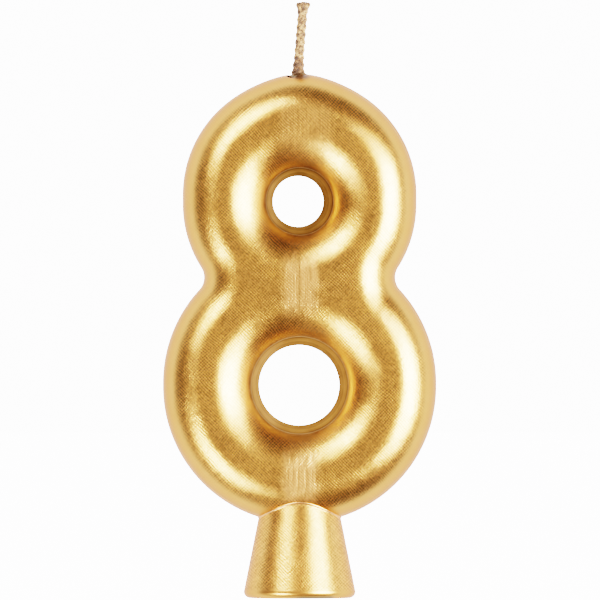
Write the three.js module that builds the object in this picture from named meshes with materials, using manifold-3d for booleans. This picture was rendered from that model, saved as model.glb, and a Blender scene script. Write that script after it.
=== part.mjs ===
// Figure-8 birthday candle: a puffy wax numeral on a flared foot, skinned in metallic gold, with a
// braided cotton wick let into its top. Millimetres, +Z up, front towards -Y, the origin at the
// middle of the foot's underside.
import * as THREE from "three";
import { mergeVertices } from "three/addons/utils/BufferGeometryUtils.js";
import Module from "manifold-3d";

// Figure: two round bowls, each a circle drawn out upwards by a short straight side.
const UPPER_R = 16.2; // outer radius of the upper bowl
const UPPER_Z = [54.46, 55.85]; // heights of its lower and upper arc centres
const LOWER_R = 18.93;
const LOWER_Z = [29.24, 29.84];
const WAIST_R = 2.5; // fillet in the notch between the bowls
const PEAK = 0.5; // how far the top's middle is drawn up round the wick
const PEAK_WIDTH = 4.85;
const HOLES = [
  { z: 54.88, r: 3.5 }, // narrowest radius of the upper hole, at mid-thickness
  { z: 29.45, r: 5.55 },
];
const DRAFT = 1.15; // how far a hole widens over its straight wall, from mid-thickness to its rim
const HALF = 6.1; // half the thickness, from the mould's parting plane to the crown
const ROUND = 5.95; // radius of the outer flank's section
const THROAT = 7.33; // radius of the flank that falls into a hole

// Foot: a cone that flares downwards, its lower edge rounded.
const FOOT_R = 7.93; // radius the cone would reach at the ground
const FOOT_SLOPE = 0.2; // radius lost for each millimetre of height
const FOOT_EDGE = 0.9; // rounding of the lower edge
const FOOT_REACH = 15.5; // height at which the cone has vanished inside the figure

// Skin and fits.
const SKIN = 0.35; // the metallic skin
const GAP = 0.3; // clearance between neighbouring pieces
const BORE_R = 1.2; // blind hole for the wick
const BORE_FLOOR = 66;
const OUTLET_TOP = 80; // the bore's cutter ends well above the figure

// Wick: a core yarn inside four strands each way, plaited one over one.
const STRANDS = 4; // strands in each direction
const STRAND_R = 0.13;
const CORE_R = 0.14;
const BRAID_R = 0.45; // mean radius of the plait
const WEAVE = 0.15; // how far a strand moves out and in as it crosses
const LEAD = 8; // height of one full turn of a strand
const WICK_Z = [66.4, 82.3];
const WAX_TOP = UPPER_Z[1] + UPPER_R + PEAK;
const WICK_X = -0.2; // where the wick leaves the wax
const LEAN = 0.83; // sideways travel of the free end
const SWELL = 0.2; // wax-soaked thickening where the wick leaves the wax
const FLARE = 0.35; // opening of the cut end
const FLARE_RUN = 1.4;

// Facets: chord angle of the plan arcs, sides of a hole, steps over a rounded flank.
const FINE = { chord: THREE.MathUtils.degToRad(6), holeSides: 36, flank: 5 };
const PLAIN = { chord: THREE.MathUtils.degToRad(9), holeSides: 24, flank: 4 }; // faces out of sight
const FOOT_SIDES = 40;
const STRAND_STEPS = 48;

const GOLD = { color: 0xc79a43, roughness: 0.32, metalness: 1 };
const WAX = { color: 0xf1e7cf, roughness: 0.55, metalness: 0 };
const COTTON = { color: 0xd3b183, roughness: 0.9, metalness: 0 };
const CORE_YARN = { color: 0xe2cda6, roughness: 0.95, metalness: 0 };

const wasm = await Module();
wasm.setup();

// ---- solids -------------------------------------------------------------------------------

function solid(geometry) {
  const bare = geometry.index ? geometry.toNonIndexed() : geometry.clone();
  bare.deleteAttribute("normal");
  bare.deleteAttribute("uv");
  const merged = mergeVertices(bare, 1e-4);
  return new wasm.Manifold(
    new wasm.Mesh({
      numProp: 3,
      vertProperties: merged.attributes.position.array,
      triVerts: new Uint32Array(merged.index.array),
    }),
  );
}

function geometryOf(body) {
  const mesh = body.getMesh();
  const positions = new Float32Array(mesh.numVert * 3);
  for (let i = 0; i < mesh.numVert; i++)
    positions.set(mesh.vertProperties.subarray(i * mesh.numProp, i * mesh.numProp + 3), i * 3);
  const indexed = new THREE.BufferGeometry()
    .setAttribute("position", new THREE.BufferAttribute(positions, 3))
    .setIndex(new THREE.BufferAttribute(mesh.triVerts, 1));
  const flat = indexed.toNonIndexed();
  flat.computeVertexNormals();
  return flat;
}

function lathe(profile, sides) {
  const points = profile.map(([r, z]) => new THREE.Vector2(r, z));
  return solid(new THREE.LatheGeometry(points, sides).rotateX(Math.PI / 2));
}

// ---- figure -------------------------------------------------------------------------------

function arc(chord, x, y, r, from, to) {
  const curve = new THREE.EllipseCurve(x, y, r, r, from, to, to < from);
  return curve.getPoints(Math.ceil(Math.abs(to - from) / chord));
}

// The waist fillet touches both bowls from outside: the three centres make a triangle whose sides
// are the bowls' centre distance and each bowl's radius plus the fillet's.
function waistFillet() {
  const span = UPPER_Z[0] - LOWER_Z[1];
  const up = UPPER_R + WAIST_R;
  const down = LOWER_R + WAIST_R;
  const drop = (span * span + up * up - down * down) / (2 * span);
  const x = Math.sqrt(up * up - drop * drop);
  const z = UPPER_Z[0] - drop;
  return { x, z, up: Math.atan2(-drop, x), down: Math.atan2(z - LOWER_Z[1], x) };
}

// Edge of the figure's flat crown, which lies ROUND inside the silhouette.
function crownOutline(chord) {
  const f = waistFillet();
  const upper = UPPER_R - ROUND;
  const lower = LOWER_R - ROUND;
  const waist = WAIST_R + ROUND;
  const pi = Math.PI;
  const points = [
    ...arc(chord, 0, UPPER_Z[0], upper, f.up, 0),
    ...arc(chord, 0, UPPER_Z[1], upper, 0, pi),
    ...arc(chord, 0, UPPER_Z[0], upper, pi, pi - f.up),
    ...arc(chord, -f.x, f.z, waist, -f.up, -f.down),
    ...arc(chord, 0, LOWER_Z[1], lower, pi - f.down, pi),
    ...arc(chord, 0, LOWER_Z[0], lower, pi, 2 * pi),
    ...arc(chord, 0, LOWER_Z[1], lower, 0, f.down),
    ...arc(chord, f.x, f.z, waist, pi + f.down, pi + f.up),
  ];
  const peakWidth = (PEAK_WIDTH * upper) / UPPER_R;
  for (const p of points) if (p.y > UPPER_Z[1]) p.y += PEAK * Math.exp(-((p.x / peakWidth) ** 2));
  return points.filter((p, i) => p.distanceTo(points.at(i - 1)) > 1e-6);
}

// A hole's cutter, turned about the hole's axis: a straight drafted wall up to the hole's rim, then
// an arc about a point inside the wax that runs out flat at the crown. Inset widens it.
function throatCutter({ z, r }, inset, facets) {
  const middle = HALF - THROAT; // height of the arc's centre over the parting plane
  const reach = r + Math.sqrt(THROAT ** 2 - middle ** 2); // the arc's centre, out from the axis
  const rimTurn = Math.asin((reach - r - DRAFT) / THROAT); // where the wall meets the arc
  const rimHeight = middle + THROAT * Math.cos(rimTurn);
  const flank = [[r + inset * Math.hypot(1, DRAFT / rimHeight), 0]];
  for (let i = 0; i <= facets.flank; i++) {
    const t = rimTurn * (1 - i / (facets.flank + 0.5));
    flank.push([reach - (THROAT - inset) * Math.sin(t), middle + (THROAT - inset) * Math.cos(t)]);
  }
  const top = HALF + 1;
  const crown = HALF - inset;
  flank.push([reach, crown + (crown - flank.at(-1)[1]) / 4], [reach, top]);
  const back = flank.slice(1).reverse().map(([x, y]) => [x, -y]);
  return lathe([[0, -top], ...back, ...flank, [0, top]], facets.holeSides)
    .rotate([90, 0, 0])
    .translate([0, 0, z]);
}

// The whole figure with its surface moved inwards by inset: the crown's edge stays where it is and
// the rounded flanks fall from it by a smaller radius.
function figure(inset, facets) {
  const body = new THREE.ExtrudeGeometry(new THREE.Shape(crownOutline(facets.chord)), {
    depth: 2 * (HALF - ROUND),
    bevelSize: ROUND - inset,
    bevelThickness: ROUND - inset,
    bevelSegments: facets.flank,
  });
  const puffy = solid(body.translate(0, 0, ROUND - HALF).rotateX(Math.PI / 2));
  return HOLES.reduce((rest, hole) => rest.subtract(throatCutter(hole, inset, facets)), puffy);
}

// ---- foot ---------------------------------------------------------------------------------

const coneRadius = (z) => FOOT_R - FOOT_SLOPE * z;

// The flared foot inside the skin's outer face, moved inwards by inset; its lower edge is an arc.
function flaredFoot(inset) {
  const radius = FOOT_EDGE - inset;
  const middle = coneRadius(FOOT_EDGE) - FOOT_EDGE;
  const edge = [];
  for (let i = 0; i <= 4; i++) {
    const a = (i / 4) * (Math.PI / 2);
    edge.push([middle + radius * Math.sin(a), FOOT_EDGE - radius * Math.cos(a)]);
  }
  const top = coneRadius(FOOT_REACH) - inset;
  return lathe([[0, inset], ...edge, [top, FOOT_REACH], [0, FOOT_REACH]], FOOT_SIDES);
}

// Wax inside the skin, with a plain bare pad that comes down to the ground inside the skin's rim.
function waxFoot() {
  const pad = coneRadius(FOOT_EDGE) - FOOT_EDGE - GAP;
  const body = lathe([[0, 0], [pad, 0], [pad, 1], [0, 1]], FOOT_SIDES);
  return flaredFoot(SKIN + GAP).add(body);
}

// Room left inside the foot's skin, open at the ground within the rounded edge.
function footHollow() {
  const mouth = coneRadius(FOOT_EDGE) - FOOT_EDGE;
  const opening = lathe([[0, -1], [mouth, -1], [mouth, 1], [0, 1]], FOOT_SIDES);
  return flaredFoot(SKIN).add(opening);
}

// ---- wick ---------------------------------------------------------------------------------

// Middle line of the wick: upright in its bore, then leaning more and more steadily.
function wickMiddle(z) {
  const u = Math.max(0, z - WAX_TOP) / (WICK_Z[1] - WAX_TOP);
  return new THREE.Vector3(WICK_X + (LEAN * u * u) / (u + 0.15), 0, z);
}

// Swelling of the wick: thick where it leaves the wax, open at its cut end.
function wickGirth(z) {
  const collar = SWELL * Math.exp(-(((z - WAX_TOP) / 1.5) ** 2));
  const tip = THREE.MathUtils.smoothstep(z, WICK_Z[1] - FLARE_RUN, WICK_Z[1]);
  return 1 + collar + FLARE * tip;
}

// One strand: a helix whose radius swings out as it crosses over and in as it crosses under.
class StrandCurve extends THREE.Curve {
  constructor(index, turn) {
    super();
    this.phase = (index / STRANDS) * 2 * Math.PI;
    this.turn = turn;
  }
  getPoint(t) {
    const z = THREE.MathUtils.lerp(WICK_Z[0], WICK_Z[1], t);
    const angle = (2 * Math.PI * (z - WICK_Z[0])) / LEAD;
    const swing = Math.tanh(1.5 * Math.cos(STRANDS * angle)) / Math.tanh(1.5);
    const r = wickGirth(z) * (BRAID_R + this.turn * WEAVE * swing);
    const a = this.turn * angle + this.phase;
    return wickMiddle(z).add(new THREE.Vector3(r * Math.cos(a), r * Math.sin(a), 0));
  }
}

class CoreCurve extends THREE.Curve {
  getPoint(t) {
    return wickMiddle(THREE.MathUtils.lerp(WICK_Z[0], WICK_Z[1], t));
  }
}

function yarn(curve, radius, sides, steps) {
  const rim = new THREE.EllipseCurve(0, 0, radius, radius).getPoints(sides).slice(0, -1);
  return solid(new THREE.ExtrudeGeometry(new THREE.Shape(rim), { steps, extrudePath: curve }));
}

// ---- assembly -----------------------------------------------------------------------------

const bore = (radius, floor) =>
  lathe([[0, floor], [radius, floor], [radius, OUTLET_TOP], [0, OUTLET_TOP]], 24)
    .translate([WICK_X, 0, 0]);

const wick = bore(BORE_R, BORE_FLOOR);
const bodies = {
  wax_figure: [figure(SKIN + GAP, PLAIN).subtract(wick), WAX],
  wax_foot: [waxFoot().subtract(figure(SKIN, PLAIN)), WAX],
  skin_figure: [
    figure(0, FINE).subtract(figure(SKIN, PLAIN)).subtract(flaredFoot(SKIN)).subtract(wick),
    GOLD,
  ],
  skin_foot: [flaredFoot(0).subtract(footHollow()).subtract(figure(-GAP, FINE)), GOLD],
  wick_core: [yarn(new CoreCurve(), CORE_R, 8, 16), CORE_YARN],
};
for (const [name, turn] of [["wick_strand_right", 1], ["wick_strand_left", -1]])
  for (let i = 0; i < STRANDS; i++)
    bodies[`${name}_${i + 1}`] = [yarn(new StrandCurve(i, turn), STRAND_R, 5, STRAND_STEPS), COTTON];

const candle = new THREE.Group();
candle.name = "number_candle";
for (const [name, [body, finish]] of Object.entries(bodies)) {
  const mesh = new THREE.Mesh(geometryOf(body), new THREE.MeshStandardMaterial(finish));
  mesh.name = name;
  candle.add(mesh);
}
export default candle;
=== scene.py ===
"""A gold figure-8 birthday candle: a puffy wax numeral on a flared foot, with a braided wick."""

import logging
from dataclasses import dataclass, field
from enum import Enum
from typing import Callable

import bpy
import numpy as np
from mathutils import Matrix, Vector


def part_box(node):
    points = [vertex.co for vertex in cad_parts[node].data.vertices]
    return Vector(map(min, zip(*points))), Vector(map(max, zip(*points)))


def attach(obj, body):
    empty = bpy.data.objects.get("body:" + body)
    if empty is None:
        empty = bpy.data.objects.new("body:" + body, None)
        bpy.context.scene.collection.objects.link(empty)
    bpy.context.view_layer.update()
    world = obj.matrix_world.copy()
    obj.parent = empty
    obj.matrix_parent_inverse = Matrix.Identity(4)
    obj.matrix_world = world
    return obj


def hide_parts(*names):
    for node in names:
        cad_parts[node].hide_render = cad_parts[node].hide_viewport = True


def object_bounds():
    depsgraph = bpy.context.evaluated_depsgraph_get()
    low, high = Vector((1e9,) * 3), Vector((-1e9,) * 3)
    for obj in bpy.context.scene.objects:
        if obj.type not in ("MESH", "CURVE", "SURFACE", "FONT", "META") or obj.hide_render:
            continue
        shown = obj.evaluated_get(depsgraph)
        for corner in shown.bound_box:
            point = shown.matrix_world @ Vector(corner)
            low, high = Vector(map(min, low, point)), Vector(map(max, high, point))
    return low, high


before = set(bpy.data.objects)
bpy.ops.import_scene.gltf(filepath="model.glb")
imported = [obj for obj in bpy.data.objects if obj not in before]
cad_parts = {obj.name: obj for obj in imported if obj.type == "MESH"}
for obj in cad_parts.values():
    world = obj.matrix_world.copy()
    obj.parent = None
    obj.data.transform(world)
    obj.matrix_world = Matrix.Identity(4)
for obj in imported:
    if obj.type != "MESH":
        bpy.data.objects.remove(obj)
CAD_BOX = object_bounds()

log = logging.getLogger("candle")
MM = 0.001
BODY = "root"
Array = np.ndarray
Colour = tuple[float, float, float, float]
Socket = bpy.types.NodeSocket
Material = bpy.types.Material


# ---- meshes ------------------------------------------------------------------------------------


@dataclass
class Surface:
    """Points and quads of a piece while it is put together, with values carried on its points."""

    points: list[Array] = field(default_factory=list)
    quads: list[Array] = field(default_factory=list)
    marks: dict[str, list[Array]] = field(default_factory=dict)
    count: int = 0

    def add_points(self, points: Array, **marks: Array) -> Array:
        """Adds a grid of points.

        Args:
            points: positions, shaped (rows, columns, 3).
            marks: one value for each point, each shaped (rows, columns).

        Returns:
            The points' numbers, shaped (rows, columns).
        """
        rows, columns = points.shape[:2]
        numbers = self.count + np.arange(rows * columns).reshape(rows, columns)
        self.points.append(points.reshape(-1, 3))
        for name, values in marks.items():
            self.marks.setdefault(name, []).append(np.broadcast_to(values, (rows, columns)).ravel())
        self.count += rows * columns
        return numbers

    def add_quads(
        self,
        numbers: Array,
        close_rows: bool = False,
        close_columns: bool = False,
        flip: bool = False,
    ) -> None:
        """Joins neighbouring points of a grid into quads.

        Args:
            numbers: point numbers, shaped (rows, columns).
            close_rows: whether the last row joins the first.
            close_columns: whether the last column joins the first.
            flip: whether the faces turn over.
        """
        if close_rows:
            numbers = np.vstack([numbers, numbers[:1]])
        if close_columns:
            numbers = np.hstack([numbers, numbers[:, :1]])
        a, b = numbers[:-1, :-1].ravel(), numbers[1:, :-1].ravel()
        c, d = numbers[1:, 1:].ravel(), numbers[:-1, 1:].ravel()
        self.quads.append(np.stack([a, d, c, b] if flip else [a, b, c, d], axis=1))

    def welded(self, reach: float = 2e-7) -> tuple[Array, Array, dict[str, Array]]:
        """Merges points that lie on each other.

        Args:
            reach: grid on which positions are compared, in metres.

        Returns:
            Positions, quads and marks of the merged surface.
        """
        points, quads = np.vstack(self.points), np.vstack(self.quads)
        keys = np.round(points / reach).astype(np.int64)
        _, first, where = np.unique(keys, axis=0, return_index=True, return_inverse=True)
        marks = {name: np.concatenate(values)[first] for name, values in self.marks.items()}
        return points[first], where.ravel()[quads], marks


def add_object(name: str, data: bpy.types.ID) -> bpy.types.Object:
    """Puts a mesh, a light or a camera into the scene.

    Args:
        name: the object's name.
        data: what it shows.

    Returns:
        The object.
    """
    made = bpy.data.objects.new(name, data)
    bpy.context.scene.collection.objects.link(made)
    return made


def make_piece(name: str, surface: Surface) -> bpy.types.Object:
    """Turns a surface into a smooth-shaded Blender object; collapsed quads become triangles.

    Args:
        name: the piece's name.
        surface: its points and quads.

    Returns:
        The new object, linked to the scene.
    """
    points, quads, marks = surface.welded()
    mesh = bpy.data.meshes.new(name)
    same = quads == np.roll(quads, -1, axis=1)
    whole, folded = quads[~same.any(axis=1)], quads[same.sum(axis=1) == 1]
    keep = ~same[same.sum(axis=1) == 1]
    triangles = folded[keep].reshape(-1, 3)
    loops = np.concatenate([whole.ravel(), triangles.ravel()])
    sizes = np.concatenate([np.full(len(whole), 4), np.full(len(triangles), 3)])
    mesh.vertices.add(len(points))
    mesh.vertices.foreach_set("co", points.ravel())
    mesh.loops.add(len(loops))
    mesh.loops.foreach_set("vertex_index", loops)
    mesh.polygons.add(len(sizes))
    mesh.polygons.foreach_set("loop_start", np.concatenate([[0], np.cumsum(sizes)[:-1]]))
    mesh.update(calc_edges=True)
    mesh.validate()
    mesh.shade_smooth()
    for mark, values in marks.items():
        attribute = mesh.attributes.new(mark, "FLOAT", "POINT")
        attribute.data.foreach_set("value", values.astype(np.float32))
    return add_object(name, mesh)


def settle(piece: bpy.types.Object, finishes: list[Material], slot: str, *nodes: str) -> None:
    """Dresses a finished piece and ties it to the candle's body and the nodes it stands for.

    Args:
        piece: the finished piece.
        finishes: its materials.
        slot: not used.
        nodes: CAD nodes that the piece replaces.
    """
    for made in finishes:
        piece.data.materials.append(made)
    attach(piece, BODY)
    if nodes:
        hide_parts(*nodes)
    log.info("%s: %d faces, stands for %s", piece.name, len(piece.data.polygons), nodes or "-")


def spaced(
    start: float, end: float, count: int, bumps: list[tuple[float, tuple[float, float]]]
) -> Array:
    """Values from start to end, crowded where a bump is: the inverse of the summed density.

    Args:
        start: first value.
        end: last value.
        count: how many steps.
        bumps: each a centre with a width and an extra density.

    Returns:
        count + 1 values.
    """
    fine = np.linspace(start, end, 4001)
    density = 1 + sum(g * np.exp(-(((fine - c) / w) ** 2)) for c, (w, g) in bumps)
    total = np.concatenate([[0], np.cumsum((density[1:] + density[:-1]) / 2)])
    return np.interp(np.linspace(0, total[-1], count + 1), total, fine)


def halving(inside: Callable[[Array], Array], low: Array, high: Array) -> Array:
    """Finds where a test changes between low (true) and high (false), by halving the span.

    Args:
        inside: the test, for an array of values.
        low: values where it holds.
        high: values where it doesn't.

    Returns:
        The values at the change.
    """
    for _ in range(48):
        middle = (low + high) / 2
        held = inside(middle)
        low, high = np.where(held, middle, low), np.where(held, high, middle)
    return (low + high) / 2


# ---- the numeral's shape -----------------------------------------------------------------------


@dataclass(frozen=True)
class Bowl:
    """One round bowl of the 8: a circle drawn out upwards by a short straight side.

    The hole's rim is centred; its opening at the parting plane sits a little aside.
    """

    radius: float
    low: float
    high: float
    hole: float
    hole_z: float
    aside: float

    def depth(self, x: Array, z: Array) -> Array:
        """Distance inwards from the bowl's outer line: radius minus the way to its spine."""
        return self.radius - np.hypot(x, z - np.clip(z, self.low, self.high))

    def throat(self, x: Array, z: Array) -> Array:
        """Distance outwards from a circle of the hole's radius about the bowl's middle line."""
        return np.hypot(x, z - self.hole_z) - self.hole

    def opening(self, turn: Array) -> Array:
        """Distance from the bowl's middle line to the opening's edge, each way round."""
        return self.hole + self.aside * np.cos(turn)


@dataclass(frozen=True)
class Numeral:
    """Plan and section of the figure 8.

    The plan is two bowls and two waist fillets, drawn up into a low peak under the wick. In section
    a flank rises from the silhouette, another from each hole's rim, and a drafted wall lines the
    hole from its rim to the parting plane.
    """

    upper: Bowl = Bowl(
        radius=16.2 * MM,
        low=54.46 * MM,
        high=55.85 * MM,
        hole=3.5 * MM,
        hole_z=54.88 * MM,
        aside=-0.21 * MM,
    )
    lower: Bowl = Bowl(
        radius=18.93 * MM,
        low=29.24 * MM,
        high=29.84 * MM,
        hole=5.55 * MM,
        hole_z=29.45 * MM,
        aside=-0.07 * MM,
    )
    fillet: float = 2.5 * MM
    half: float = 6.1 * MM
    flank: float = 5.95 * MM
    inner_flank: float = 7.33 * MM
    wall_width: float = 1.15 * MM
    peak: float = 0.5 * MM
    peak_width: float = 4.85 * MM
    softness: float = 0.05 * MM
    rim_softness: float = 0.06 * MM
    rim_reach: float = 0.4 * MM

    def notch(self) -> tuple[float, float]:
        """Centre of the waist fillet: a triangle on both bowls' centres, its sides their radii plus
        the fillet's.

        Returns:
            The right-hand centre's place across, and its height.
        """
        span = self.upper.low - self.lower.high
        up, down = self.upper.radius + self.fillet, self.lower.radius + self.fillet
        drop = (span**2 + up**2 - down**2) / (2 * span)
        return float(np.sqrt(up**2 - drop**2)), self.upper.low - drop

    def waist_half_width(self) -> float:
        """Half the width between the two notches."""
        return self.notch()[0] - self.fillet

    def depth(self, x: Array, z: Array) -> Array:
        """Distance inwards from the silhouette: from the nearer bowl's line, or from the fillet
        between the two lines that join its centre to the bowls' centres.

        Args:
            x: places across.
            z: heights.

        Returns:
            Distances, negative outside.
        """
        side = np.abs(x)
        fx, fz = self.notch()
        above = z > self.upper.low + side * (fz - self.upper.low) / fx
        below = z < self.lower.high + side * (fz - self.lower.high) / fx
        waist = np.hypot(side - fx, z - fz) - self.fillet
        raised = self.peak * np.exp(-((x / self.peak_width) ** 2)) * (z > self.upper.high)
        bowls = np.where(above, self.upper.depth(x, z) + raised, self.lower.depth(x, z))
        return np.where((above | below) | (side > fx), bowls, waist)

    def throat(self, x: Array, z: Array) -> Array:
        """Distance outwards from the edge of the nearer hole."""
        return np.minimum(self.upper.throat(x, z), self.lower.throat(x, z))

    def drafted_wall(self, x: Array, z: Array, rim_height: float) -> Array:
        """Height of the holes' walls: straight from the opening's edge up to the rim.

        Args:
            x: places across.
            z: heights.
            rim_height: height at which a wall meets its flank.

        Returns:
            Heights of the nearer hole's wall, carried on past its rim.
        """
        nearer_upper = self.upper.throat(x, z) < self.lower.throat(x, z)
        shares = []
        for bowl in (self.upper, self.lower):
            turn = np.arctan2(z - bowl.hole_z, x)
            start = bowl.opening(turn)
            end = bowl.hole + self.wall_width
            shares.append((np.hypot(x, z - bowl.hole_z) - start) / (end - start))
        return np.where(nearer_upper, *shares) * rim_height

    def rim(self, x: Array, z: Array) -> Array:
        """Distance to the nearest edge, outline or hole."""
        return np.minimum(self.depth(x, z), self.throat(x, z))

    def crown(self, x: Array, z: Array) -> Array:
        """Height of the front over the parting plane: the softened least of four heights, an arc
        that rises from the silhouette, an arc and a drafted wall that rise from a hole, and the
        flat crown.

        Args:
            x: places across.
            z: heights.

        Returns:
            Heights over the parting plane.
        """
        out = np.clip(self.flank - self.depth(x, z), 0, self.flank)
        outer = self.half - self.flank + np.sqrt(self.flank**2 - out**2)
        sunk = self.half - self.inner_flank
        reach = np.sqrt(self.inner_flank**2 - sunk**2)
        throat = self.throat(x, z)
        inward = np.clip(reach - throat, 0, reach - self.wall_width)
        inner = sunk + np.sqrt(self.inner_flank**2 - inward**2)
        wall = self.drafted_wall(x, z, float(inner.min()))
        rounding = self.rim_softness * np.exp(-(((throat - self.wall_width) / self.rim_reach) ** 2))
        rounding *= np.exp(-np.abs(inner - wall) / self.rim_softness)
        inner = np.minimum(inner, wall) - rounding
        heights = (outer, inner, np.full_like(outer, self.half))
        k = self.softness
        level = np.minimum.reduce(heights)
        parts = [np.exp((level - h) / k) for h in heights]
        return level - k * np.log(sum(parts)) * np.clip(level / self.flank, 0, 1) ** 4


@dataclass
class WickLine:
    """Middle line of the wick; its ends are read from the CAD core's box."""

    numeral: Numeral
    root_x: float = -0.2 * MM
    lean: float = 0.83 * MM
    ease: float = 0.15
    bottom: float = field(init=False)
    top: float = field(init=False)
    leaves: float = field(init=False)

    def __post_init__(self) -> None:
        """Takes the wick's ends from the CAD core, and where it leaves the wax from the peak."""
        low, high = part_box("wick_core")
        self.bottom, self.top = low.z, high.z
        self.leaves = self.numeral.upper.high + self.numeral.upper.radius + self.numeral.peak

    def middle(self, z: Array) -> Array:
        """Sideways place of the wick's middle: upright in the bore, then leaning more steadily."""
        u = np.maximum(0, z - self.leaves) / (self.top - self.leaves)
        return self.root_x + self.lean * u * u / (u + self.ease)


@dataclass
class NumeralSkin:
    """The metallic skin over the figure 8, with the pit that the wick stands in.

    The pit is round about the wick, with a shallower notch at its left front.
    """

    numeral: Numeral
    wick: WickLine
    columns: int = 220
    waist_columns: int = 60
    wall_rows: int = 9
    rows: int = 72
    crowd_at_notch: tuple[float, float] = (0.12, 3.0)
    crowd_at_top: tuple[float, float] = (0.1, 8.0)
    top_cap: float = 2.5 * MM
    pit_aside: float = -0.1 * MM
    pit_radius: float = 1.2 * MM
    pit_depth: float = 1.5 * MM
    pit_edge: float = 0.04
    notch_left: float = 0.75 * MM
    notch_front: float = 1.1 * MM
    notch_radius: float = 0.66 * MM
    notch_narrowing: float = 0.55
    notch_share: float = 0.36

    def border(self, bowl: Bowl, top: bool) -> Array:
        """A bowl's border: the silhouette from one waist notch to the other, found by halving along
        rays from the hole's middle, then the waist line back.

        Args:
            bowl: the bowl.
            top: whether it is the upper one.

        Returns:
            Places across and heights, all the way round.
        """
        width, (_, waist_z) = self.numeral.waist_half_width(), self.numeral.notch()
        side = width if top else -width
        start = np.arctan2(waist_z - bowl.hole_z, side)
        end = np.arctan2(waist_z - bowl.hole_z, -side)
        end += 2 * np.pi if end < start else 0
        crowd = [(start, self.crowd_at_notch), (end, self.crowd_at_notch)]
        crowd += [(np.pi / 2, self.crowd_at_top)] if top else []
        turn = spaced(start, end, self.columns, crowd)
        reach = halving(
            lambda r: self.numeral.depth(r * np.cos(turn), bowl.hole_z + r * np.sin(turn)) > 0,
            np.full_like(turn, bowl.hole + MM),
            np.full_like(turn, bowl.radius + 5 * MM),
        )
        edge = np.stack([reach * np.cos(turn), bowl.hole_z + reach * np.sin(turn)], axis=1)
        edge[0], edge[-1] = (side, waist_z), (-side, waist_z)
        across = -width * np.cos(np.pi * np.arange(1, self.waist_columns) / self.waist_columns)
        across = across if top else across[::-1]
        return np.vstack([edge, np.stack([across, np.full_like(across, waist_z)], axis=1)])

    def ring(self, surface: Surface, bowl: Bowl, top: bool) -> None:
        """Adds one bowl: on each ray rows down the hole's wall, a row on its rim, and rows out to
        the border, closer together near both ends; front and back, sewn at hole and silhouette.

        Args:
            surface: what the bowl is added to.
            bowl: the bowl.
            top: whether it is the upper one.
        """
        edge = self.border(bowl, top)
        centre = np.array([0.0, bowl.hole_z])
        out = edge - centre
        length = np.hypot(out[:, 0], out[:, 1])
        opening = bowl.opening(np.arctan2(out[:, 1], out[:, 0]))[:, None]
        rim_r = bowl.hole + self.numeral.wall_width
        wall = opening + (rim_r - opening) * np.linspace(0, 1, self.wall_rows)[None, :]
        share = (1 - np.cos(np.pi * np.linspace(0, 1, self.rows + 1)))[None, 1:] / 2
        along = np.hstack([wall, rim_r + (length[:, None] - rim_r) * share])
        plan = centre + (out / length[:, None])[:, None, :] * along[:, :, None]
        x, z = plan[..., 0], plan[..., 1]
        x[:, -1], z[:, -1] = edge[:, 0], edge[:, 1]
        rim = np.maximum(self.numeral.rim(x, z), 0)
        throat = np.maximum(self.numeral.throat(x, z), 0)
        sides = []
        for way in (-1, 1):
            y = way * self.numeral.crown(x, z)
            points = np.stack([x, y, self.pitted(x, y, z)], axis=2)
            sides.append(surface.add_points(points, rim=rim, throat=throat))
            surface.add_quads(sides[-1], close_rows=True, flip=way > 0)
        front, back = sides
        surface.add_quads(np.stack([back[:, 0], front[:, 0]], axis=1), close_rows=True)
        surface.add_quads(np.stack([front[:, -1], back[:, -1]], axis=1)[: self.columns + 1])

    def sunk(self, x: Array, y: Array) -> Array:
        """Share of the pit's depth: the greater of two bells that fall as an eighth power.

        Args:
            x: places across.
            y: places towards the back.

        Returns:
            Shares from 0 to 1.
        """
        x = x - self.wick.root_x - self.pit_aside
        about_wick = np.hypot(x, y) / self.pit_radius
        narrowed = (y + self.notch_front) * self.notch_narrowing
        notch = np.hypot(x + self.notch_left, narrowed) / self.notch_radius
        return np.maximum(np.exp(-(about_wick**8)), self.notch_share * np.exp(-(notch**8)))

    def on_top(self, z: Array) -> Array:
        """Whether a height lies in the cap that the pit may sink into."""
        return z > self.numeral.upper.high + self.numeral.upper.radius - self.top_cap

    def pitted(self, x: Array, y: Array, z: Array) -> Array:
        """Heights with the wick's pit sunk into the top."""
        return z - self.pit_depth * self.sunk(x, y) * self.on_top(z)

    def build(self) -> bpy.types.Object:
        """Builds the whole skin as one closed surface.

        Returns:
            The skin.
        """
        surface = Surface()
        self.ring(surface, self.numeral.upper, True)
        self.ring(surface, self.numeral.lower, False)
        return make_piece("gold_skin_of_the_8", surface)

    def line_holes(self, piece: bpy.types.Object) -> None:
        """Gives the holes' walls the second material, painted shade, and the wick's pit the third,
        a painted shadow.

        Args:
            piece: the skin.
        """
        mesh = piece.data
        centres = np.empty(len(mesh.polygons) * 3)
        mesh.polygons.foreach_get("center", centres)
        x, y, z = centres.reshape(-1, 3).T
        wall = self.numeral.throat(x, z) < self.numeral.wall_width
        pit = (self.sunk(x, y) > self.pit_edge) & self.on_top(z)
        slots = np.where(pit, 2, np.where(wall, 1, 0))
        mesh.polygons.foreach_set("material_index", slots.astype(np.int32))


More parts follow.
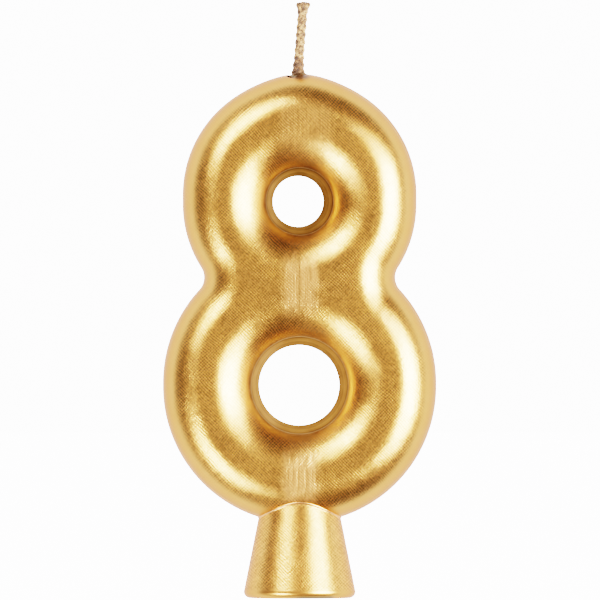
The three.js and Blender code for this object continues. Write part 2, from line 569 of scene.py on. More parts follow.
@dataclass
class Foot:
    """The flared foot's skin, which meets the numeral in a soft crease.

    Its rows of points are counted on the ground edge, the cone, the bead and the inside.
    """

    numeral: Numeral
    ground_radius: float = 7.93 * MM
    slope: float = 0.2
    edge: float = 0.9 * MM
    wall: float = 0.35 * MM
    bead: float = 0.13 * MM
    inner_gap: float = 0.1 * MM
    crease_between: tuple[float, float] = (8 * MM, 16 * MM)
    rim_per_height: float = 1.4
    rows: tuple[int, int, int, int] = (10, 60, 12, 30)
    columns: int = 288

    def cone(self, z: Array) -> Array:
        """Radius at a height: the ground radius less the slope times the height."""
        return self.ground_radius - self.slope * z

    def crease_height(self, turn: Array) -> Array:
        """Height at which the cone runs into the numeral, for each direction round the foot.

        Args:
            turn: directions.

        Returns:
            Heights.
        """

        def outside(z: Array) -> Array:
            """Whether the cone's points at these heights lie outside the numeral."""
            x, y = self.cone(z) * np.cos(turn), self.cone(z) * np.sin(turn)
            return (self.numeral.depth(x, z) <= 0) | (np.abs(y) > self.numeral.crown(x, z))

        low, high = self.crease_between
        return halving(outside, np.full_like(turn, low), np.full_like(turn, high))

    def build(self) -> bpy.types.Object:
        """Builds the skin as a closed wall: a quarter round at the ground, the cone, a half-round
        bead over the crease, and the cone again on the inside, a wall's thickness in.

        Returns:
            The skin.
        """
        turn = np.linspace(0, 2 * np.pi, self.columns, endpoint=False)
        top = self.crease_height(turn)[:, None]
        edge_rows, side_rows, bead_rows, back_rows = self.rows
        bend = np.linspace(0, np.pi / 2, edge_rows)[None, :]
        middle = self.cone(self.edge) - self.edge
        edge_r = middle + self.edge * np.sin(bend) + 0 * top
        edge_z = self.edge - self.edge * np.cos(bend) + 0 * top
        share = np.linspace(0, 1, side_rows)[None, 1:]
        side_z = self.edge + (top - self.bead - self.edge) * share
        curl = np.linspace(-np.pi / 2, np.pi / 2, bead_rows)[None, 1:]
        lip_z = top + self.bead * np.sin(curl)
        lip_r = self.cone(top) + self.bead * np.cos(curl)
        back_share = np.linspace(1, 0, back_rows)[None, :]
        back_z = back_share * (top + self.bead - self.wall) + self.wall
        back_r = np.minimum(self.cone(back_z), middle + self.edge) - self.wall - self.inner_gap
        radius = np.hstack([edge_r, self.cone(side_z), lip_r, back_r])
        height = np.hstack([edge_z, side_z, lip_z, back_z])
        around = np.stack([np.cos(turn), np.sin(turn)], axis=1)[:, None, :]
        points = np.concatenate([radius[..., None] * around, height[..., None]], axis=2)
        surface = Surface()
        rim, below = self.rim_per_height * height, np.clip(top - height, 0, None)
        numbers = surface.add_points(points, rim=rim, throat=below)
        surface.add_quads(numbers, close_rows=True, close_columns=True)
        return make_piece("gold_skin_of_the_foot", surface)


@dataclass
class Collar:
    """Wax that crept up the wick while it set, lacquered with the figure: high on one side only."""

    numeral: Numeral
    wick: WickLine
    inner: float = 1.02 * MM
    outer: float = 1.85 * MM
    highest: float = 0.24 * MM
    lowest: float = -0.35 * MM
    high_side: float = -50.0
    lip: float = 0.06 * MM
    inner_root: float = 1.1 * MM
    outer_root: float = 0.6 * MM
    flatness: float = 0.85
    narrowest: float = 0.12
    fall: float = 2.2
    rows: int = 22
    lip_rows: int = 7
    columns: int = 160

    def build(self) -> bpy.types.Object:
        """Builds the collar: a hollow-sided ridge whose height goes as the cosine of the way round,
        and whose width shrinks on the low side. It stands on the peak's parabola, sunk in at both
        sides.

        Returns:
            The collar.
        """
        turn = np.linspace(0, 2 * np.pi, self.columns, endpoint=False)[:, None]
        lift = (1 + np.cos(turn - np.radians(self.high_side))) / 2
        crest = self.lowest + (self.highest - self.lowest) * lift
        share = np.linspace(0, 1, self.rows)[None, :]
        reach = self.narrowest + (1 - self.narrowest) * np.clip(1.6 * lift - 0.35, 0, 1)
        out_r = self.inner + (self.outer - self.inner) * reach * share
        out_z = crest * (1 - share) ** self.fall - self.lip / 2
        curl = np.linspace(np.pi / 2, np.pi, self.lip_rows)[None, :0:-1]
        lip_r = self.inner + self.lip * np.cos(curl) + 0 * turn
        lip_z = crest - 1.5 * self.lip + self.lip * np.sin(curl)
        radius = np.hstack([lip_r[:, :1], lip_r, out_r, out_r[:, -1:]])
        height = np.hstack([0 * turn - self.inner_root, lip_z, out_z, 0 * turn - self.outer_root])
        x, y = self.wick.root_x + radius * np.cos(turn), radius * np.sin(turn)
        ground = self.wick.leaves - self.flatness * (x**2 + y**2) / (2 * self.numeral.flank)
        surface = Surface()
        points = np.stack([x, y, ground + height], axis=2)
        numbers = surface.add_points(points, throat=np.ones_like(x))
        surface.add_quads(numbers, close_rows=True, close_columns=True, flip=True)
        return make_piece("wax_collar_round_the_wick", surface)


# ---- the wick ----------------------------------------------------------------------------------


class Turn(Enum):
    """Which way a strand winds as it climbs."""

    RIGHT = 1
    LEFT = -1


@dataclass
class Braid:
    """The plaited wick: four strands each way, one over one, about a core yarn."""

    line: WickLine
    strands: int = 4
    half_width: float = 0.28 * MM
    half_thickness: float = 0.15 * MM
    mean_radius: float = 0.51 * MM
    weave: float = 0.075 * MM
    squareness: float = 1.5
    hollow: float = 0.35
    lead: float = 4.2 * MM
    collar_swell: float = 0.36
    collar_height: float = 1.5 * MM
    collar_sunk: float = 0.2 * MM
    tip_swell: float = 0.5
    tip_length: float = 1.5 * MM
    let_in: float = 3 * MM
    tip_gap: float = 0.1 * MM
    rounded_steps: int = 3
    steps: int = 420
    sides: int = 14

    def girth(self, z: Array) -> Array:
        """How much wider the braid is at a height: a bell at the wax and an opened cut end.

        Args:
            z: heights.

        Returns:
            Factors on every size across.
        """
        up = (z - self.line.leaves + self.collar_sunk) / self.collar_height
        tip = np.clip((z - self.line.top + self.tip_length) / self.tip_length, 0, 1)
        opened = self.tip_swell * tip**2 * (3 - 2 * tip)
        return 1 + self.collar_swell * np.exp(-(up**2)) + opened

    def path(self, index: int, turn: Turn) -> Array:
        """Points along a strand: a helix whose radius swings as the cosine of its crossings.

        Args:
            index: which of the strands that wind this way.
            turn: the way it winds.

        Returns:
            Points, shaped (steps, 3).
        """
        ends = self.line.bottom + self.let_in, self.line.top - self.tip_gap
        z = np.linspace(*ends, self.steps)
        angle = 2 * np.pi * (z - self.line.bottom) / self.lead
        swing = np.tanh(self.squareness * np.cos(self.strands * angle)) / np.tanh(self.squareness)
        radius = self.girth(z) * (self.mean_radius + turn.value * self.weave * swing)
        around = turn.value * angle + 2 * np.pi * index / self.strands
        x = self.line.middle(z) + radius * np.cos(around)
        return np.stack([x, radius * np.sin(around), z], axis=1)

    def strand(self, index: int, turn: Turn) -> bpy.types.Object:
        """Builds one strand: an oval section carried along its path, wide round the wick and bent
        about it, that shrinks to a point at both ends.

        Args:
            index: which of the strands that wind this way.
            turn: the way it winds.

        Returns:
            The strand.
        """
        path = self.path(index, turn)
        ahead = np.gradient(path, axis=0)
        ahead /= np.linalg.norm(ahead, axis=1, keepdims=True)
        out = path - np.stack([self.line.middle(path[:, 2]), 0 * path[:, 2], path[:, 2]], axis=1)
        out -= ahead * (out * ahead).sum(axis=1, keepdims=True)
        out /= np.linalg.norm(out, axis=1, keepdims=True)
        side = np.cross(ahead, out)
        around = np.linspace(0, 2 * np.pi, self.sides, endpoint=False)
        ends = np.minimum(np.arange(self.steps), np.arange(self.steps)[::-1])
        full = np.sqrt(np.clip(ends / self.rounded_steps, 0, 1))
        swell = self.girth(path[:, 2])[:, None, None]
        wide = self.half_width * swell * np.cos(around)[None, :, None] * side[:, None, :]
        bent = self.hollow * self.half_width * np.cos(around) ** 2
        thick = (self.half_thickness * np.sin(around) - bent)[None, :, None] * out[:, None, :]
        points = path[:, None, :] + full[:, None, None] * (wide + thick)
        length = np.concatenate([[0], np.cumsum(np.linalg.norm(np.diff(path, axis=0), axis=1))])
        side_mark = (np.abs(np.cos(around)) * np.sign(np.sin(around) + 0.5))[None, :]
        surface = Surface()
        numbers = surface.add_points(points, along=length[:, None], side=side_mark)
        surface.add_quads(numbers, close_columns=True)
        return make_piece(f"cotton_strand_{turn.name.lower()}_{index + 1}", surface)

    def build(self) -> list[bpy.types.Object]:
        """Builds every strand."""
        return [self.strand(i, turn) for turn in Turn for i in range(self.strands)]


@dataclass
class Fray:
    """Loose cotton fibres that stand out of the braid's cut end."""

    line: WickLine
    fibres: int = 420
    radius: float = 0.03 * MM
    base_spread: float = 0.7 * MM
    tip_spread: float = 1.1 * MM
    let_in: tuple[float, float] = (0.5 * MM, 1.1 * MM)
    stands_out: tuple[float, float] = (0.18 * MM, 0.3 * MM)
    dome: float = 0.45 * MM
    opening_power: float = 1.6
    turned: float = 0.35
    seed: int = 8
    steps: int = 7
    sides: int = 5

    def build(self) -> bpy.types.Object:
        """Builds the tuft: each fibre is a thin tube that rises straight, turns a little about the
        wick and moves out as a power of the way up.

        Returns:
            The tuft.
        """
        rng = np.random.default_rng(self.seed)
        n = self.fibres
        around, spread = rng.uniform(0, 2 * np.pi, n), np.sqrt(rng.uniform(0, 1, n))
        start_r = self.base_spread * spread
        end_r = self.tip_spread * spread + rng.normal(0, self.radius, n)
        base = self.line.top - rng.uniform(*self.let_in, n)
        tip = self.line.top + rng.uniform(*self.stands_out, n) - self.dome * spread**3
        t = np.linspace(0, 1, self.steps)[None, :]
        radius = start_r[:, None] + (end_r - start_r)[:, None] * t**self.opening_power
        angle = around[:, None] + rng.normal(0, self.turned, n)[:, None] * t
        z = base[:, None] + (tip - base)[:, None] * t
        x = self.line.middle(z) + radius * np.cos(angle)
        path = np.stack([x, radius * np.sin(angle), z], axis=2)
        ring = np.linspace(0, 2 * np.pi, self.sides, endpoint=False)
        section = np.stack([np.cos(ring), np.sin(ring), 0 * ring], axis=1) * self.radius
        taper = np.array([0.0] + [1.0] * (self.steps - 2) + [0.0])
        tubes = path[:, :, None, :] + taper[None, :, None, None] * section[None, None]
        surface = Surface()
        points = tubes.reshape(n * self.steps, self.sides, 3)
        numbers = surface.add_points(points, along=0 * points[..., 0], side=0 * points[..., 0])
        closed = np.hstack([numbers, numbers[:, :1]]).reshape(n, self.steps, self.sides + 1)
        rows = np.stack([closed[:, :-1], closed[:, 1:]], axis=2)
        a, b = rows[:, :, 0, :-1], rows[:, :, 1, :-1]
        c, d = rows[:, :, 1, 1:], rows[:, :, 0, 1:]
        surface.quads.append(np.stack([a, d, c, b], axis=-1).reshape(-1, 4))
        return make_piece("frayed_wick_end", surface)


# ---- finishes ----------------------------------------------------------------------------------


class Nodes:
    """Short ways to write a node tree."""

    def __init__(self, tree: bpy.types.NodeTree) -> None:
        """Keeps the tree."""
        self.tree = tree

    def add(self, kind: str, inputs: dict | None = None, **settings: object) -> bpy.types.Node:
        """Adds a node.

        Args:
            kind: the node's type.
            inputs: socket name or number to a value or to another node's socket.
            settings: the node's own properties.

        Returns:
            The node.
        """
        node = self.tree.nodes.new(kind)
        for name, value in settings.items():
            setattr(node, name, value)
        self.fill(node, inputs or {})
        return node

    def feed(self, socket: Socket, value: object) -> None:
        """Links a socket to another one, or sets its value."""
        if isinstance(value, Socket):
            self.tree.links.new(value, socket)
        else:
            socket.default_value = value

    def fill(self, node: bpy.types.Node, inputs: dict) -> None:
        """Feeds several of a node's sockets, each by its name or number."""
        for name, value in inputs.items():
            self.feed(node.inputs[name], value)

    def calc(self, operation: str, *values: object) -> Socket:
        """A Math node on one, two or three values."""
        return self.add("ShaderNodeMath", dict(enumerate(values)), operation=operation).outputs[0]

    def plus(self, a: object, b: object) -> Socket:
        """The sum a + b."""
        return self.calc("ADD", a, b)

    def minus(self, a: object, b: object) -> Socket:
        """The difference a - b."""
        return self.calc("SUBTRACT", a, b)

    def times(self, a: object, *more: object) -> Socket:
        """The product of two or more values."""
        for value in more:
            a = self.calc("MULTIPLY", a, value)
        return a

    def scaled(self, value: object, by: object, start: object) -> Socket:
        """The value times by, plus start."""
        return self.calc("MULTIPLY_ADD", value, by, start)

    def ramp(self, value: object, low: float, high: float) -> Socket:
        """A smooth rise from 0 at low to 1 at high; a fall where low is the greater."""
        span = {"Value": value, "From Min": low, "From Max": high}
        return self.add("ShaderNodeMapRange", span, interpolation_type="SMOOTHSTEP").outputs[0]

    def place(self) -> Socket:
        """Object coordinates."""
        return self.add("ShaderNodeTexCoord").outputs["Object"]

    def split(self, place: Socket) -> bpy.types.bpy_prop_collection:
        """The sockets X, Y and Z of a place."""
        return self.add("ShaderNodeSeparateXYZ", {"Vector": place}).outputs

    def carried(self, mark: str) -> Socket:
        """A value that the piece carries on its points."""
        return self.add("ShaderNodeAttribute", attribute_name=mark).outputs["Fac"]

    def streaked(self, place: Socket, squeeze: float) -> Socket:
        """A place squeezed in height, which draws a pattern on it out into upright streaks."""
        squeezed = {0: place, 1: (1.0, 1.0, squeeze)}
        return self.add("ShaderNodeVectorMath", squeezed, operation="MULTIPLY").outputs[0]

    def noise(self, place: object, scale: float, detail: float = 2.0) -> Socket:
        """A noise value from 0 to 1."""
        inputs = {"Vector": place, "Scale": scale, "Detail": detail}
        return self.add("ShaderNodeTexNoise", inputs).outputs["Fac"]

    def mix(self, share: object, a: object, b: object) -> Socket:
        """The colour a, and b where the share is 1."""
        node = self.add("ShaderNodeMix", {0: share, 6: a, 7: b}, data_type="RGBA")
        return node.outputs[2]

    def bump(self, height: Socket, distance: float = 1.0, strength: float = 1.0) -> Socket:
        """A normal bent by a relief."""
        inputs = {"Height": height, "Distance": distance, "Strength": strength}
        return self.add("ShaderNodeBump", inputs).outputs["Normal"]


def new_material(name: str) -> tuple[Material, Nodes, bpy.types.Node]:
    """Starts a material.

    Args:
        name: its name.

    Returns:
        The material, its nodes and its Principled shader.
    """
    made = bpy.data.materials.new(name)
    made.use_nodes = True
    return made, Nodes(made.node_tree), made.node_tree.nodes["Principled BSDF"]


@dataclass(frozen=True)
class Grain:
    """How fine each noise is, in cells to the metre."""

    patch_side: float = 700.0
    patch_end: float = 1500.0
    waver: float = 380.0
    worn: float = 420.0
    crossed: float = 170.0
    scratches: float = 3800.0
    pebble: float = 3600.0
    strokes: float = 2300.0
    lacquer: float = 300.0
    rim_line: float = 600.0
    wall_rings: float = 3500.0
    mottle: float = 500.0
    fibre: float = 1500.0
    dirt: float = 1700.0


GRAIN = Grain()


@dataclass(frozen=True)
class Patch:
    """A rectangle of the numeral's crown, dressed with upright strokes."""

    low: float
    high: float
    middle: float = 0.15 * MM
    half_width: float = 2.45 * MM
    strength: float = 1.0


PATCHES = (
    Patch(13.0 * MM, 20.4 * MM),
    Patch(39.5 * MM, 47.0 * MM),
    Patch(60.5 * MM, 68.5 * MM, middle=0.9 * MM, half_width=3.6 * MM, strength=0.45),
)
SINGLE_VALUE = "NodeSocketFloat"


def group_of(name: str, inputs: dict[str, float], outputs: list[str]) -> bpy.types.NodeTree:
    """Starts a node group whose sockets all carry single values.

    Args:
        name: the group's name.
        inputs: socket name to default value.
        outputs: socket names.

    Returns:
        The empty group.
    """
    tree = bpy.data.node_groups.new(name, "ShaderNodeTree")
    for socket, value in inputs.items():
        made = tree.interface.new_socket(name=socket, in_out="INPUT", socket_type=SINGLE_VALUE)
        made.default_value = value
    for socket in outputs:
        tree.interface.new_socket(name=socket, in_out="OUTPUT", socket_type=SINGLE_VALUE)
    return tree


def stroke_patches_group() -> bpy.types.NodeTree:
    """Where the crown is dressed with upright strokes: the sum of the soft-edged rectangles.

    Returns:
        A group with the output Mask.
    """
    tree = group_of("stroke_patches", {}, ["Mask"])
    n = Nodes(tree)
    place = n.place()
    parts = n.split(place)
    ragged = n.scaled(n.noise(place, GRAIN.patch_side, 3.0), 1.8 * MM, -0.9 * MM)
    uneven = n.scaled(n.noise(n.streaked(place, 0.05), GRAIN.patch_end), 3.0 * MM, -1.5 * MM)
    z = n.plus(parts["Z"], uneven)
    total: object = 0.0
    for patch in PATCHES:
        aside = n.calc("ABSOLUTE", n.minus(parts["X"], patch.middle))
        aside = n.plus(aside, ragged)
        across = n.ramp(aside, patch.half_width + 0.8 * MM, patch.half_width - 0.9 * MM)
        above = n.ramp(z, patch.low - 2.0 * MM, patch.low + 1.8 * MM)
        below = n.ramp(z, patch.high + 2.0 * MM, patch.high - 1.8 * MM)
        total = n.scaled(n.times(across, above, below), patch.strength, total)
    n.add("NodeGroupOutput", {"Mask": total})
    return tree


def wave(n: Nodes, across: Socket, full_turn: Socket) -> Socket:
    """Parallel grooves: the sine of the distance across them."""
    return n.calc("SINE", n.times(across, full_turn))


def scratches(n: Nodes, across: Socket, along: Socket) -> Socket:
    """Fine scratches: a noise squeezed along them, spread to about -1 to 1."""
    vector = n.add("ShaderNodeCombineXYZ", {"X": across, "Y": n.times(along, 0.17)}).outputs[0]
    return n.scaled(n.noise(vector, GRAIN.scratches, 1.0), 5.0, -2.5)


def tool_marks_group() -> bpy.types.NodeTree:
    """Relief left by the mould's cutter: diagonal passes, some crossed, over a fine pebble, with
    rings that follow the edges where the passes stop, and upright strokes in the patches.

    Returns:
        A group with a socket for each kind of mark, in metres of relief, and two outputs: Height,
        and Groove, which is 1 down in the marks and 0 on their crests.
    """
    kinds = {
        "Pitch": 0.32 * MM,
        "Falling": 0.008 * MM,
        "Rising": 0.006 * MM,
        "Pebble": 0.012 * MM,
        "Rings": 0.003 * MM,
        "Strokes": 0.027 * MM,
        "Patch": 0.0,
        "Rim": 1.0,
    }
    tree = group_of("cutter_marks", kinds, ["Height", "Groove"])
    n = Nodes(tree)
    given = n.add("NodeGroupInput").outputs
    place = n.place()
    parts = n.split(place)
    x, z = parts["X"], parts["Z"]
    full_turn = n.calc("DIVIDE", 2 * np.pi, given["Pitch"])
    waver = n.times(n.noise(place, GRAIN.waver, 1.0), 0.5 * MM)
    falling_way = n.times(n.plus(x, z), float(np.sqrt(0.5)))
    rising_way = n.times(n.minus(x, z), float(np.sqrt(0.5)))
    worn = n.ramp(n.noise(place, GRAIN.worn), 0.25, 0.62)
    crossed = n.ramp(n.noise(place, GRAIN.crossed, 1.0), 0.38, 0.62)
    falling = n.times(wave(n, n.plus(falling_way, waver), full_turn), worn)
    falling = n.scaled(scratches(n, falling_way, rising_way), 0.45, falling)
    rising = n.times(wave(n, n.plus(rising_way, waver), full_turn), crossed)
    rising = n.scaled(scratches(n, rising_way, falling_way), 0.6, rising)
    pebble = n.scaled(n.noise(place, GRAIN.pebble), 5.0, -2.5)
    inside = n.ramp(given["Rim"], 1.2 * MM, 2.3 * MM)
    total = n.times(falling, given["Falling"])
    total = n.scaled(rising, given["Rising"], total)
    total = n.scaled(pebble, given["Pebble"], total)
    total = n.times(total, n.scaled(inside, 0.93, 0.07))
    rings = n.times(wave(n, given["Rim"], full_turn), given["Rings"], n.minus(1.0, inside))
    strokes = n.minus(n.noise(n.streaked(place, 0.06), GRAIN.strokes, 3.0), 0.5)
    strokes = n.times(strokes, given["Strokes"], 2.0)
    total = n.scaled(strokes, given["Patch"], n.plus(total, rings))
    depth = n.plus(n.plus(given["Falling"], given["Rising"]), given["Pebble"])
    groove = n.ramp(n.calc("DIVIDE", total, depth), 0.8, -0.8)
    n.add("NodeGroupOutput", {"Height": total, "Groove": groove})
    return tree


@dataclass(frozen=True)
class GoldFinish:
    """Gold lacquer over a machined mould's marks, with painted shade down in the marks.

    With patches it is the numeral's, and the throat mark is the distance from the nearer hole;
    without them it is the foot's, and the mark is the distance under the crease.
    """

    name: str
    colour: Colour = (1.0, 0.505, 0.165, 1.0)
    deep: Colour = (0.95, 0.445, 0.12, 1.0)
    rubbed: Colour = (1.0, 0.52, 0.21, 1.0)
    scratch_span: tuple[float, float] = (40.0 * MM, 46.4 * MM)
    # throat: painted shade on the gold near the holes
    throat: Colour = (0.60, 0.395, 0.165, 1.0)
    # lip: on the numeral a dark line of painted shade at the holes' rims; the foot's is a painted
    # highlight
    lip: Colour = (0.27, 0.16, 0.05, 1.0)
    # dark: painted shade down in the cutter's marks, and the colour of the waist's scratch
    dark: Colour = (0.30, 0.172, 0.05, 1.0)
    # painted shade along the foot's ground edge
    ground_edge_shade: Colour = (0.06, 0.05, 0.015, 1.0)
    # painted shade on the top in front of the wick's base
    wick_shade: Colour = (0.17, 0.16, 0.12, 1.0)
    wick_shade_place: tuple[float, float, float] = (0.15 * MM, -2.1 * MM, 72.1 * MM)
    edge_tint: Colour = (1.0, 0.93, 0.85, 1.0)
    # how strongly painted shade darkens the grooves of the marks
    groove_shade: float = 0.85
    roughness: float = 0.295
    falling: float = 0.0055 * MM
    rising: float = 0.0045 * MM
    pebble: float = 0.0045 * MM
    rings: float = 0.003 * MM
    patches: bool = True

    def material(self, marks: bpy.types.NodeTree, strokes: bpy.types.NodeTree) -> Material:
        """Builds the material.

        Args:
            marks: the group of the cutter's marks.
            strokes: the group that says where the upright strokes are.

        Returns:
            The material.
        """
        made, n, shader = new_material(self.name)
        place, rim, throat = n.place(), n.carried("rim"), n.carried("throat")
        patch: object = 0.0
        if self.patches:
            mask = n.add("ShaderNodeGroup", node_tree=strokes).outputs["Mask"]
            patch = n.times(mask, n.ramp(rim, 1.6 * MM, 2.8 * MM))
        kinds = {
            "Falling": self.falling,
            "Rising": self.rising,
            "Pebble": self.pebble,
            "Rings": n.times(n.ramp(throat, 3.4 * MM, 2.2 * MM), self.rings),
            "Patch": patch,
            "Rim": rim,
        }
        relief = n.add("ShaderNodeGroup", kinds, node_tree=marks).outputs
        cloud = n.noise(place, GRAIN.lacquer, 4.0)
        colour = n.mix(cloud, self.colour, self.deep)
        colour = n.mix(n.times(patch, 0.7), colour, self.rubbed)
        if self.patches:
            colour = n.mix(self.scratch(n, place), colour, self.dark)
            # painted shade in front of the wick's base
            colour = n.mix(self.before_the_wick(n, place), colour, self.wick_shade)
        # painted shade: the colour darkens down in the marks, less so in the patches
        groove = n.times(relief["Groove"], self.groove_shade, n.scaled(patch, -0.45, 1.0))
        colour, metal = n.mix(groove, colour, self.dark), 1.0
        if self.patches:
            colour = self.shaded_throat(n, place, throat, colour)
        else:
            colour, metal = self.painted_crease_highlight_and_ground_shade(n, place, throat, colour)
        rough = n.scaled(cloud, 0.08, self.roughness - 0.04)
        inputs = {
            "Base Color": colour,
            "Metallic": metal,
            "Roughness": n.scaled(patch, 0.06, rough),
            "Specular Tint": self.edge_tint,
            "Normal": n.bump(relief["Height"]),
        }
        n.fill(shader, inputs)
        return made

    def scratch(self, n: Nodes, place: Socket) -> Socket:
        """Strength of the one long upright scratch down the middle of the waist.

        Args:
            n: the material's nodes.
            place: object coordinates.

        Returns:
            The strength.
        """
        parts = n.split(place)
        low, high = self.scratch_span
        aside = n.calc("ABSOLUTE", n.plus(parts["X"], 0.02 * MM))
        mark = n.times(n.ramp(aside, 0.16 * MM, 0.03 * MM), 0.6)
        mark = n.times(mark, n.ramp(parts["Z"], low - MM, low + MM))
        return n.times(mark, n.ramp(parts["Z"], high + MM, high - MM))

    def before_the_wick(self, n: Nodes, place: Socket) -> Socket:
        """Strength of the painted shade on the top, just before the wick.

        Args:
            n: the material's nodes.
            place: object coordinates.

        Returns:
            The strength.
        """
        spot = {0: place, 1: self.wick_shade_place}
        away = n.add("ShaderNodeVectorMath", spot, operation="DISTANCE").outputs["Value"]
        return n.ramp(away, 1.7 * MM, 0.6 * MM)

    def shaded_throat(self, n: Nodes, place: Socket, throat: Socket, colour: Socket) -> Socket:
        """Paints shade on the gold towards a hole, and an uneven dark line of painted shade at its
        rim.

        Args:
            n: the material's nodes.
            place: object coordinates.
            throat: distance from the nearer hole.
            colour: the colour so far.

        Returns:
            The new colour.
        """
        colour = n.mix(n.ramp(throat, 3.0 * MM, 1.5 * MM), colour, self.throat)
        wavy = n.scaled(n.noise(place, GRAIN.rim_line), 0.5 * MM, throat)
        near_rim = n.ramp(wavy, 1.85 * MM, 1.35 * MM)
        return n.mix(n.times(near_rim, 0.75), colour, self.lip)

    def painted_crease_highlight_and_ground_shade(
        self, n: Nodes, place: Socket, below: Socket, colour: Socket
    ) -> tuple[Socket, Socket]:
        """Paints a highlight on the lip at the foot's crease, and a dark, less metallic line of
        painted shade along the edge that touches the ground.

        Args:
            n: the material's nodes.
            place: object coordinates.
            below: distance under the crease.
            colour: the colour so far.

        Returns:
            The new colour, and how metallic the surface still is.
        """
        parts = n.split(place)
        # painted shade: a dark, less metallic line along the ground edge
        line = n.ramp(parts["Z"], 0.46 * MM, 0.3 * MM)
        right = n.ramp(parts["X"], 5.6 * MM, 4.2 * MM)
        line = n.times(line, n.ramp(parts["X"], -2.6 * MM, 0.6 * MM), right)
        colour = n.mix(n.times(line, 0.9), colour, self.ground_edge_shade)
        # painted highlight on the lip at the crease
        lip = n.times(n.ramp(below, 0.3 * MM, 0.08 * MM), 0.6)
        return n.mix(lip, colour, self.lip), n.scaled(line, -0.95, 1.0)


@dataclass(frozen=True)
class WallFinish:
    """Lacquer down the drafted walls of the holes, coloured brown and dark as painted shade."""

    name: str = "thin_lacquer_in_the_holes"
    colour: Colour = (0.45, 0.255, 0.085, 1.0)
    deep: Colour = (0.17, 0.092, 0.028, 1.0)
    pale: Colour = (0.58, 0.36, 0.155, 1.0)
    edge_tint: Colour = (0.75, 0.62, 0.45, 1.0)

    def material(self) -> Material:
        """Builds the material: faint rings round the wall, with painted shade towards the parting
        plane and the rim and in the upper hole, and painted light that makes the left paler.

        Returns:
            The material.
        """
        made, n, shader = new_material(self.name)
        place, throat = n.place(), n.carried("throat")
        parts = n.split(place)
        ring = n.noise(n.add("ShaderNodeCombineXYZ", {"X": throat}).outputs[0], GRAIN.wall_rings)
        cloud = n.noise(place, GRAIN.mottle, 3.0)
        shade = n.scaled(ring, 1.6, n.scaled(cloud, 0.9, -1.0))
        # painted shade: darker towards the parting plane, then in the upper hole, then near the rim
        shade = n.scaled(n.ramp(throat, 0.4 * MM, 0.0), 0.5, shade)
        shade = n.scaled(n.ramp(parts["Z"], 42 * MM, 44 * MM), 0.33, shade)
        shade = n.scaled(n.ramp(throat, 0.85 * MM, 1.15 * MM), 0.45, shade)
        shade = n.add("ShaderNodeClamp", {"Value": shade}).outputs[0]
        # painted light: paler towards the left
        left = n.times(n.ramp(parts["X"], -1.5 * MM, -4.0 * MM), 0.6)
        left = n.times(left, n.minus(1.0, n.times(shade, 0.6)))
        inputs = {
            "Base Color": n.mix(left, n.mix(shade, self.colour, self.deep), self.pale),
            "Roughness": n.scaled(cloud, 0.1, 0.33),
            "Normal": n.bump(ring, 0.03 * MM),
            "Metallic": 1.0,
            "Specular Tint": self.edge_tint,
        }
        n.fill(shader, inputs)
        return made


@dataclass(frozen=True)
class WaxFinish:
    """Plain paraffin wax."""

    name: str = "paraffin_wax"
    colour: Colour = (0.86, 0.78, 0.60, 1.0)
    pale: Colour = (0.93, 0.88, 0.74, 1.0)
    glow_depth: tuple[float, float, float] = (2.0 * MM, 1.5 * MM, 1.0 * MM)

    def material(self) -> Material:
        """Builds the material: mottled wax with a faint pouring ripple.

        Returns:
            The material.
        """
        made, n, shader = new_material(self.name)
        cloud = n.noise(n.place(), GRAIN.mottle, 4.0)
        inputs = {
            "Base Color": n.mix(cloud, self.colour, self.pale),
            "Roughness": n.scaled(cloud, 0.2, 0.4),
            "Normal": n.bump(cloud, 0.05 * MM, 0.6),
            "Subsurface Weight": 0.3,
            "Subsurface Radius": self.glow_depth,
            "Subsurface Scale": 1.0,
        }
        n.fill(shader, inputs)
        return made


@dataclass(frozen=True)
class CottonFinish:
    """Twisted cotton yarn with a wash of gold from the skin."""

    name: str
    colour: Colour = (0.175, 0.095, 0.03, 1.0)
    pale: Colour = (0.42, 0.255, 0.095, 1.0)
    # dark flecks, and painted shade between the strands
    fleck_and_gap_shade: Colour = (0.05, 0.027, 0.008, 1.0)
    copper: Colour = (0.12, 0.055, 0.014, 1.0)
    copper_span: tuple[float, float] = (72.6 * MM, 74.6 * MM)
    twist_pitch: float = 0.2 * MM

    def material(self) -> Material:
        """Builds the material: fine twisted fibres, pale and dark, that run along the yarn, with
        painted shade where the strands meet, and a stain of copper above the wax.

        Returns:
            The material.
        """
        made, n, shader = new_material(self.name)
        place, side = n.place(), n.carried("side")
        twist = n.scaled(n.carried("along"), 2 * np.pi / self.twist_pitch, n.times(side, 2.5))
        ply = n.scaled(n.calc("SINE", twist), 0.5, 0.5)
        cloud = n.noise(place, GRAIN.fibre, 1.5)
        fibre = n.mix(n.ramp(cloud, 0.38, 0.62), self.colour, self.pale)
        # painted shade: the strands darken towards their edges, where they meet
        strand_gap_shade = n.ramp(n.calc("ABSOLUTE", side), 0.72, 1.0)
        fibre = n.mix(n.times(strand_gap_shade, 0.6), fibre, self.fleck_and_gap_shade)
        z = n.split(place)["Z"]
        low, high = self.copper_span
        stain = n.times(n.ramp(z, low - 0.3 * MM, low), n.ramp(z, high + 0.3 * MM, high))
        fibre = n.mix(n.times(stain, 0.8), fibre, self.copper)
        dirt = n.ramp(n.noise(place, GRAIN.dirt, 0.5), 0.5, 0.66)
        inputs = {
            "Base Color": n.mix(n.times(dirt, 0.6), fibre, self.fleck_and_gap_shade),
            "Normal": n.bump(n.plus(ply, n.times(cloud, 1.2)), 0.02 * MM, 0.8),
            "Roughness": 0.7,
            "Sheen Weight": 0.3,
        }
        n.fill(shader, inputs)
        return made


# ---- the studio --------------------------------------------------------------------------------


